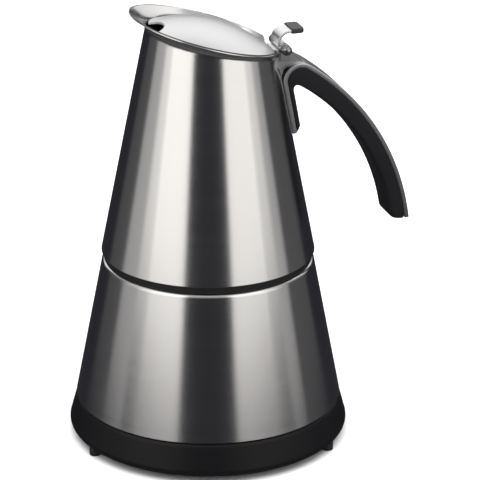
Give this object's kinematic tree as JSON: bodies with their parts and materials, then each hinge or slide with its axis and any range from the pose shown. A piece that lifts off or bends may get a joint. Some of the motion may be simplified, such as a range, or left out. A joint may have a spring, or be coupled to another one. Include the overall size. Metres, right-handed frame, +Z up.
{
  "type": "moka pot",
  "caption": "Conical electric stovetop-style coffee maker: steel boiler on a black base, screw-on steel jug with slanted spout rim, hinged lid, thumb lever and strap handle.",
  "frame": {"origin": "point on the table plane under the feet, on the pot's vertical axis", "axes": "+Z up, +X towards the handle, -X towards the spout, +Y towards the safety valve"},
  "size_m": [0.1732, 0.14, 0.2206],
  "materials": {
    "boiler_steel": "brushed round the pot",
    "jug_steel": "brushed round the pot",
    "lid_steel": "fine satin",
    "inner_steel": "spun, satin",
    "band_steel": "polished edges, satin faces",
    "lever_steel": "satin",
    "pin_steel": "polished",
    "screw_steel": "turned",
    "spreader_aluminium": "cast",
    "element_sheath": "dull",
    "contact_brass": "bright",
    "valve_brass": "turned",
    "base_plastic": "glossy moulded",
    "plate_plastic": "fine moulded grain",
    "socket_plastic": "moulded",
    "collar_plastic": "satin moulded",
    "grip_plastic": "satin moulded",
    "tip_plastic": "satin moulded",
    "switch_plastic": "moulded",
    "fuse_plastic": "ceramic white",
    "foot_rubber": "moulded",
    "valve_rubber": "moulded",
    "gasket_silicone": "translucent white",
    "wire_insulation": "glass braid"
  },
  "bodies": {
    "boiler": {"boiler_shell": "boiler_steel", "boiler_neck": "inner_steel", "boiler_floor": "inner_steel", "heat_spreader": "spreader_aluminium", "heating_element": "element_sheath", "thermostat": "switch_plastic", "thermal_fuse": "fuse_plastic", "supply_wires": "wire_insulation", "connector_socket": "socket_plastic", "contact_rings": "contact_brass", "contact_pin": "contact_brass", "base_ring": "base_plastic", "base_plate": "plate_plastic", "base_screws": "screw_steel", "feet": "foot_rubber", "valve_body": "valve_brass", "valve_gasket": "valve_rubber", "valve_nut": "valve_brass", "valve_spring": "screw_steel"},
    "valve_pin": {"valve_pin": "pin_steel"},
    "collar": {"collar_ring": "collar_plastic"},
    "basket": {"basket_cup": "inner_steel", "basket_sieve": "inner_steel", "basket_funnel": "inner_steel"},
    "seals": {"jug_gasket": "gasket_silicone", "filter_plate": "inner_steel"},
    "jug": {"jug_shell": "jug_steel", "jug_floor": "inner_steel", "jug_skirt": "inner_steel", "column_tube": "inner_steel", "column_cap": "inner_steel", "handle_band": "band_steel", "handle_grip": "grip_plastic", "grip_screws": "screw_steel", "hinge_bracket": "band_steel", "hinge_pin": "pin_steel", "pin_balls": "pin_steel"},
    "lid": {"lid_shell": "lid_steel", "lid_tongue": "lid_steel", "thumb_lever": "lever_steel", "lever_tip": "tip_plastic"}
  },
  "joints": [
    {"name": "valve_push", "type": "slide", "parent": "boiler", "child": "valve_pin", "axis": [0, 0.982, 0.1888], "range_m": [0, 0.0012], "stiffness_N_per_m": 2000, "springref_m": -0.001, "deforming": ["valve_spring"]},
    {"name": "basket_lift", "type": "slide", "parent": "boiler", "child": "basket", "axis": [0, 0, 1], "range_m": [0, 0.075]},
    {"name": "jug_lift", "type": "slide", "parent": "boiler", "child": "collar", "axis": [0, 0, 1], "range_m": [0, 0.15]},
    {"name": "jug_rise", "type": "slide", "parent": "collar", "child": "seals", "axis": [0, 0, 1], "range_m": [0, 0.008]},
    {"name": "jug_turn", "type": "hinge", "parent": "seals", "child": "jug", "pos_m": [0, 0, 0.1], "axis": [0, 0, 1], "range_deg": [0, 720]},
    {"name": "lid_hinge", "type": "hinge", "parent": "jug", "child": "lid", "pos_m": [0.03697, 0, 0.19899], "axis": [0, 1, 0], "range_deg": [0, 65]}
  ],
  "couplings": [
    {"joint": "jug_rise", "follows": "jug_turn", "m_per_rad": 0.00063662},
    {"joint": "basket_lift", "follows": "jug_lift", "ratio": 0.5}
  ]
}
